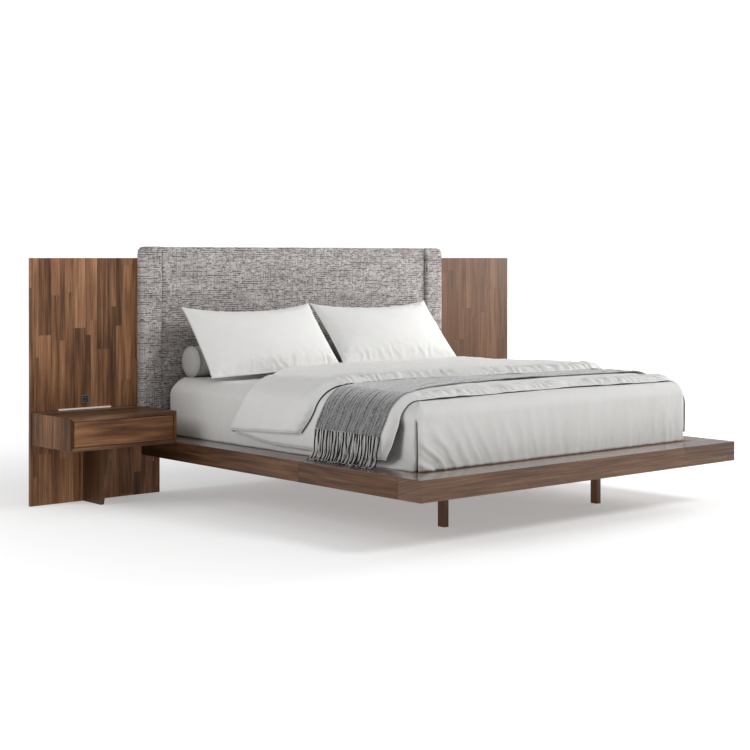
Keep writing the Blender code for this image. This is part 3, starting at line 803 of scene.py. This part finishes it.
def duvet(mat, edge_mat):
    """A quilt laid over the bed, its head part folded back towards the foot."""
    s = np.linspace(-HEM, HEM, 400)
    foot, fold, free = along(FOOT_EDGE, s), along(FOLD, s * 0.97), along(FREE_EDGE, s * 0.934)
    base, top = height(BASE_LIFT, s), height(FOLD_LIFT, s)
    flap, tuck = height(FLAP_LIFT, s), height(TUCK, s)
    curl = (top - base) / 2
    far = np.full(len(s), 9.0)
    layers = []         # of each row: line across, y, lift, side facing up, ways to foot and free edge
    for t in np.linspace(0, 1, 95, endpoint=False) ** 1.15:
        y, way = foot + (fold - foot) * t, (fold - foot) * t
        rise = 0.0045 + (base - 0.0045) * smoothstep(way, 0.0, 0.06)
        layers.append((s * (1 - 0.024 * smoothstep(y, 0.05, 0.40)), y, rise, -1.0, way, far))
    for angle in np.linspace(0, math.pi, 12, endpoint=False):
        layers.append((s * (1 - 0.024 - 0.014 * angle / math.pi), fold + curl * math.sin(angle),
                       base + curl * (1 - math.cos(angle)), 1.0 if angle > math.pi / 2 else -1.0, far, far))
    for t in np.linspace(0, 1, 90):
        back = fold - free
        under = np.clip(1 - back * (1 - t) / height((0.034, 0.070), s), 0, 1)
        rise = top + (flap - top) * smoothstep(np.full(len(s), t), 0.1, 0.9) - tuck * under ** 2
        layers.append((s * (1 - 0.038 - 0.028 * t), fold - back * t, rise, 1.0, far, back * (1 - t)))
    s_all, y_all, lifts, facing, near_foot, near_free = (np.array(part) for part in zip(*layers))
    grid = np.array([layer(*row) for row in zip(s_all, y_all, lifts)])
    normal = grid_normals(grid)
    wave = quilt_wave(grid, s_all)
    on_top = 0.25 + 0.75 * smoothstep(1.02 - np.abs(s_all), 0, 0.14)
    bare = on_top * (1 - smoothstep(grid[..., 1] - along(THROW_EDGE, s_all), -0.05, 0.0))
    soft = 0.25 + 0.75 * smoothstep(near_free, 0, 0.035)
    wave += 0.0120 * pucker(grid, s_all, near_free, 0.064, 0.120, 31.0) * on_top * soft
    for size, pitch, reach, seed, start in ((0.0110, 0.115, 0.160, 61.0, 0.05),
                                            (0.0050, 0.052, 0.070, 71.0, 0.03)):
        folds = pucker(grid, s_all, near_foot, pitch, reach, seed)
        wave += size * bare * folds * smoothstep(near_foot, 0.0, start)
    place = grid + normal * (wave * facing[:, None])[..., None]
    edge = np.minimum(np.minimum(near_foot, near_free) / 0.040, (HEM - np.abs(s)[None, :]) / 0.016)
    thick = DUVET_THICK * (0.14 + 0.86 * smoothstep(edge, 0, 1) ** 0.8)
    thick = thick * (1 + 0.10 * bumps(grid, 6.0, 50.0))
    run = np.concatenate([[0], np.cumsum(np.linalg.norm(np.diff(grid[:, len(s) // 2], axis=0), axis=1))])
    obj = puffed("duvet_quilt", place, thick, mat, flat_cloth(s[None, :], run[:, None]))
    declare(obj, "duvet_cotton", "duvet")
    # charcoal piping along the foot edge and the hanging ends of the free edge: partly real piping, partly
    # painted shadow that darkens the crease under those edges
    hanging = np.abs(s_all[-1]) > 0.72
    edge_lines = [(place[0], 0.0016, 0)]
    edge_lines += [(place[-1][hanging & (s_all[-1] * side > 0)], 0.0032, 0) for _, side in SIDES]
    piping_and_shadow = joined_tubes("duvet_piping_and_shadow", edge_lines, [edge_mat])
    declare(piping_and_shadow, "throw_wool")


# ---------------- throw
THROW_HEM = 1.090
THROW_WIDTH = 0.470
THROW_EDGE = [(-1.10, -0.735), (-1.00, -0.798), (-0.94, -0.826), (-0.89, -0.835), (-0.80, -0.765),
              (-0.65, -0.680), (-0.40, -0.605), (0.05, -0.560), (0.40, -0.585), (0.68, -0.620),
              (0.82, -0.650), (0.92, -0.690), (1.00, -0.715), (1.10, -0.720)]
THROW_THICK = 0.0055


def throw(mat, dark, light):
    """Knitted throw across the bed and down both sides, with a two-colour fringe."""
    s = np.linspace(-THROW_HEM, THROW_HEM, 330)
    edge = along(THROW_EDGE, s)
    across = np.linspace(0, 1, 90)
    lift = height(BASE_LIFT, s) + DUVET_THICK / 2 + 0.0045
    grid = np.array([layer(s, edge + THROW_WIDTH * t, lift) for t in across])
    normal = grid_normals(grid)
    lower = smoothstep(np.abs(s), 0.80, 1.05)[None, :]
    drift = across[:, None] * 7.5 + 0.9 * bumps(grid * [0.5, 1.0, 0.5], 3.0, 71.0)
    fold = crease(drift) * (0.25 + 0.75 * lower) * (0.6 + 0.4 * bumps(grid, 2.0, 77.0))
    wave = -quilt_wave(grid, s) + 0.0055 * (fold + 0.8)
    place = grid + normal * (-wave)[..., None]
    cloth = flat_cloth(s[None, :], across[:, None] * THROW_WIDTH)
    thick = np.full(place.shape[:2], THROW_THICK)
    thick[0], thick[-1], thick[:, 0], thick[:, -1] = (THROW_THICK / 2,) * 4
    obj = puffed("knit_throw", place, thick, mat, cloth)
    declare(obj, "throw_wool", "throw")
    fringes = [fringe(name, place[:, column], side, dark, light)
               for name, column, side in (("left", 0, -1), ("right", -1, 1))]


def fringe(name, hem, side, dark, light):
    """Tassels along the throw's hem: a dark and a pale yarn side by side, ends on the ledge."""
    tassels = []
    count = 23
    rng = np.random.default_rng(11 if side < 0 else 12)
    floor = LEDGE_TOP + 0.0045
    steps = np.linspace(0, 1, 26)
    for k in range(count):
        for index in (0, 1):
            place = (k + 0.27 + 0.46 * index) / count * (len(hem) - 1)
            low = int(place)
            root = hem[low] * (1 - place + low) + hem[low + 1] * (place - low)
            lean, swing, phase = rng.normal(0.008, 0.005), rng.normal(0, 0.0026), rng.uniform(0, 6.28)
            length = root[2] - floor + rng.uniform(0.016, 0.034)
            run = steps * length
            drop = root[2] + 0.004 - floor
            bend = rng.uniform(0.040, 0.060)
            angle = np.clip((run - drop + bend) / (bend * 1.5), 0, math.pi / 2)
            step = run[1] - run[0]
            z = np.maximum(root[2] + 0.004 - np.cumsum(np.cos(angle)) * step, floor)
            out = 0.004 + np.cumsum(np.sin(angle)) * step + 0.010 * steps
            sway = swing * np.sin(steps * 7.0 + phase) + lean * steps
            x = root[0] + side * (out + 0.002 * np.sin(steps * 9 + phase))
            radius = (0.0036, 0.0030)[index] * (1 - 0.3 * steps)
            tassels.append((np.column_stack([x, root[1] + sway, z]), radius, index))
    obj = joined_tubes("throw_fringe_" + name, tassels, [dark, light])
    declare(obj, "throw_wool")
    return obj


# ---------------- pillows and bolster
def pillow(name, node, corners, seed, waist):
    """A knife-edged pillow between four corners, with concave sides and puckered seams."""
    low_left, low_right, top_right, top_left = (np.array(c) for c in corners)
    u = np.linspace(-1, 1, 110)[:, None]
    v = np.linspace(-1, 1, 70)[None, :]
    uu = u * (1 - waist * (1 - v * v))
    vv = v * (1 - np.where(v > 0, 0.20, -0.03) * (1 - u * u))
    a, b = ((1 + uu) / 2)[..., None], ((1 + vv) / 2)[..., None]
    middle = ((1 - a) * (1 - b) * low_left + a * (1 - b) * low_right
              + a * b * top_right + (1 - a) * b * top_left)
    crown = ((1 - np.abs(u) ** 2.0) * (1 - np.abs(v) ** 2.0)) ** 0.75
    half_width = np.linalg.norm(low_right - low_left) / 2
    half_height = np.linalg.norm(top_left - low_left) / 2
    seam = np.minimum((1 - np.abs(v)) * half_height, (1 - np.abs(u)) * half_width)
    at_end = (1 - np.abs(v)) * half_height < (1 - np.abs(u)) * half_width
    run = np.where(at_end, u * half_width, v * half_height)
    crease_wave = pucker(middle, run, seam, 0.090, 0.075, seed) * smoothstep(seam, 0.0, 0.012)
    broad = 0.006 * bumps(middle, 3.4, seed + 20) * np.sqrt(crown)
    thickness = 0.005 + 0.160 * crown + 0.0085 * crease_wave + broad
    obj = puffed(name, middle, thickness, PILLOW, flat_cloth(u * half_width, v * half_height), flip=True)
    swell(obj, pressure=3.0, limit=0.010)
    declare(obj, "pillow_cotton", node)


def swell(obj, pressure, limit, frames=20):
    """Inflate a closed piece with a cloth simulation, and cap how far each point may move."""
    before = np.array([v.co for v in obj.data.vertices])
    cloth = obj.modifiers.new("swell", "CLOTH")
    for key, value in (("use_pressure", True), ("uniform_pressure_force", pressure),
                       ("tension_stiffness", 12), ("compression_stiffness", 12),
                       ("bending_stiffness", 0.2), ("quality", 5)):
        setattr(cloth.settings, key, value)
    cloth.settings.effector_weights.gravity = 0
    cloth.collision_settings.use_self_collision = False
    cloth.point_cache.frame_start = 1
    cloth.point_cache.frame_end = frames
    scene = bpy.context.scene
    for number in range(1, frames + 1):
        scene.frame_set(number)
    graph = bpy.context.evaluated_depsgraph_get()
    mesh = bpy.data.meshes.new_from_object(obj.evaluated_get(graph))
    after = np.array([v.co for v in mesh.vertices])
    bpy.data.meshes.remove(mesh)
    obj.modifiers.clear()
    scene.frame_set(1)
    step = after - before
    size = np.linalg.norm(step, axis=1, keepdims=True)
    step *= np.minimum(1, limit / np.maximum(size, 1e-9))
    obj.data.vertices.foreach_set("co", (before + step).astype(np.float32).ravel())
    obj.data.update()


def bolster(mat, node="bolster"):
    """Round bolster with domed, piped ends."""
    low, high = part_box(node)
    centre, radius, half = (low + high) / 2, 0.084, 0.880
    centre.z = SHEET_TOP + radius + 0.003
    profile = [(0.35, half - 0.001), (0.6, half - 0.004), (0.78, half - 0.009), (0.90, half - 0.016),
               (0.955, half - 0.022), (0.975, half - 0.026), (0.985, half - 0.0225), (1.012, half - 0.021),
               (1.026, half - 0.0265), (1.012, half - 0.032), (0.975, half - 0.033), (0.982, half - 0.045),
               (0.995, half - 0.075)]
    straight = np.linspace(half - 0.11, -half + 0.11, 90)
    left = [(r, -a) for r, a in reversed(profile)]
    outline = profile + [(1.0, a) for a in straight] + left
    around = 96
    angles = np.linspace(0, 2 * math.pi, around, endpoint=False)
    vertices = [(centre.x + half, centre.y, centre.z)]
    for r, a in outline:
        for angle in angles:
            swing = Vector((a * 5, math.cos(angle) * 1.5, math.sin(angle) * 1.5))
            wave = 1 + 0.010 * noise.noise(swing) * smoothstep(half - abs(a), 0.02, 0.06)
            vertices.append((centre.x + a, centre.y + radius * r * wave * math.cos(angle),
                             centre.z + radius * r * wave * math.sin(angle)))
    vertices.append((centre.x - half, centre.y, centre.z))
    faces = [(0, 1 + (j + 1) % around, 1 + j) for j in range(around)]
    rows = len(outline)
    faces += [(a, d, c, b) for a, b, c, d in bands(rows, around, start=1)]
    last = 1 + (rows - 1) * around
    faces += [(len(vertices) - 1, last + j, last + (j + 1) % around) for j in range(around)]
    obj = link_mesh("bolster_cushion", vertices, faces, mat)
    declare(obj, "bolster_linen", node)


# ---------------- headboard
def headboard(mat):
    """Upholstered pads: a wide centre and two proud wings."""
    for name, node, side, radius in (("centre_pad", "headboard_centre_pad", 0, 0.012),
                                     ("wing_pad_left", "headboard_wing_left", -1, 0.016),
                                     ("wing_pad_right", "headboard_wing_right", 1, 0.016)):
        low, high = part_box(node)
        if side:
            low.z = LEDGE_TOP + 0.002
        else:
            low.y -= 0.004
        obj = pad(name, low, high, radius, mat, crown=0.004, step=0.03, ripple=0.0012, seed=len(name))
        if side:
            round_corner(obj, side, low, high, 0.034)
        declare(obj, "headboard_tweed", node)


def round_corner(obj, side, low, high, radius):
    """Round a wing's outer top corner, seen from the front."""
    edge_x, edge_z = (high.x if side > 0 else -low.x) - radius, high.z - radius
    for vertex in obj.data.vertices:
        a, b = side * vertex.co.x - edge_x, vertex.co.z - edge_z
        if a > 0 and b > 0:
            share = max(a, b) / math.hypot(a, b)
            vertex.co.x, vertex.co.z = side * (edge_x + a * share), edge_z + b * share


# ---------------- build
def finish_wood():
    """Each row: material, walnut's settings up to its contrast, the others, and the nodes."""
    for name, side in SIDES:
        left = side < 0
        for wood, settings, more, nodes in (
                ("walnut_panel", ("Z", 0.050 if left else 0.074, 0.62, 1.60 if left else 0.90, 2.0, "X",
                                  1.0 if left else 0.6), {}, "side_panel"),
                ("walnut_stand_top", ("X", 0.075, 0.9, 0.68, 7.0, "Y", 1.2), {}, "stand_top stand_bottom"),
                # the drawer front's drift is painted shade: it darkens the inner end, next to the bed, where
                # the bed shades it
                ("walnut_drawer_front", ("X", 0.150, 2.0, 1.46, 9.3, "Z", 0.9),
                 {"drift": 0.45 * side, "start": 1.50 * side}, "drawer_front"),
                ("walnut_stand_side", ("Z", 0.060, 1.0, 1.05, 4.0, "Y", 0.9), {"specular": 0.12},
                 "stand_outer_side stand_inner_side"),
                ("walnut_fin", ("Z", 0.070, 1.0, 0.62, 6.0, "Y", 0.7), {}, "support_fin"),
                # the side rail's drift is painted shade: darker towards the head, under the nightstand, paler
                # at the foot
                ("walnut_side_rail", ("Y", 0.110, 1.3, 0.80, 12.0, "Z", 0.8),
                 {"gloss": 0.36, "drift": -0.30, "start": -0.35, "waxed_top": 1.0}, "side_rail"),
                ("drawer_box_wood", ("Y", 0.090, 1.0, 2.0, 15.0, "Z", 0.5), {},
                 "drawer_inner_side drawer_outer_side"),
                ("drawer_back_wood", ("X", 0.090, 1.0, 2.0, 17.0, "Z", 0.5), {}, "drawer_back"),
                ("drawer_bottom_wood", ("X", 0.120, 1.0, 2.0, 19.0, "Y", 0.5), {}, "drawer_bottom")):
            grain, stave, length, tone, seed, width_axis, contrast = settings
            mat = walnut(f"{wood}_{name}", grain, stave, length, tone, seed + side, width_axis,
                         contrast, **more)
            assign(mat, *(f"{node}_{name}" for node in nodes.split()))
        assign(metal("zinc_" + name, (0.56, 0.56, 0.57), 0.32),
               *(f"slide_{kind}_{part}_{name}" for kind in ("rail", "runner")
                 for part in ("inner", "outer")))
        # painted shade: the headboard bracket is made near black so it reads as the shade between panel and
        # rail
        assign(plastic("painted_shade_black_" + name, (0.012, 0.012, 0.013), 0.6), "headboard_bracket_" + name)
        assign(plastic("light_" + name, (0.80, 0.71, 0.65), 0.35, 0.12), "light_bar_" + name)
        assign(outlet("outlet_" + name, "power_outlet_" + name), "power_outlet_" + name)
    for wood, settings, more, nodes in (
            ("walnut_foot_rail", ("X", 0.110, 2.6, 0.76, 21.0, "Z", 0.8),
             {"gloss": 0.26, "specular": 0.45, "waxed_top": 1.0}, "foot_rail"),
            ("walnut_deck", ("X", 0.090, 0.9, 1.0, 23.0, "Y", 0.7), {}, "deck_foot deck_middle deck_head"),
            ("walnut_leg", ("Z", 0.060, 1.0, 1.12, 25.0, "X", 0.6), {},
             "front_leg_left front_leg_right centre_leg_middle centre_leg_head"),
            ("beam_wood", ("X", 0.080, 1.2, 1.3, 27.0, "Y", 0.5), {"gloss": 0.6},
             "cross_beam_front cross_beam_middle head_rail"),
            ("centre_beam_wood", ("Y", 0.080, 1.2, 1.3, 29.0, "X", 0.5), {"gloss": 0.6}, "centre_beam")):
        assign(walnut(wood, *settings, **more), *nodes.split())
    assign(woven("backing_cloth", (0.045, 0.045, 0.047), 0.0014, 0.3), "headboard_back_board")


camera()
studio()
finish_wood()
headboard(tweed("headboard_tweed"))
mattress_core(woven("mattress_ticking", (0.70, 0.69, 0.67), 0.0016))
sheet_piece(woven("sheet_cotton", (0.65, 0.645, 0.63), coords="cloth"))
# the duvet's charcoal piping is partly painted shadow under its edges
duvet(woven("duvet_cotton", (0.68, 0.675, 0.66), coords="cloth"),
      yarn("piping_and_shadow_charcoal", (0.014, 0.014, 0.014)))
throw(knit("throw_knit"), yarn("yarn_black", (0.016, 0.016, 0.018)), yarn("yarn_white", (0.84, 0.83, 0.80)))
PILLOW = woven("pillow_cotton", (0.73, 0.725, 0.71), coords="cloth")
pillow("pillow_left_case", "pillow_left", [(-0.966, 0.645, 0.648), (-0.080, 0.642, 0.684),
                                           (-0.040, 0.992, 1.030), (-0.933, 0.992, 1.027)], 1.0, 0.014)
pillow("pillow_right_case", "pillow_right", [(-0.060, 0.652, 0.684), (0.834, 0.642, 0.686),
                                             (0.872, 0.992, 1.030), (-0.040, 0.992, 1.028)], 9.0, 0.020)
bolster(woven("bolster_linen", (0.45, 0.442, 0.425), 0.0014))
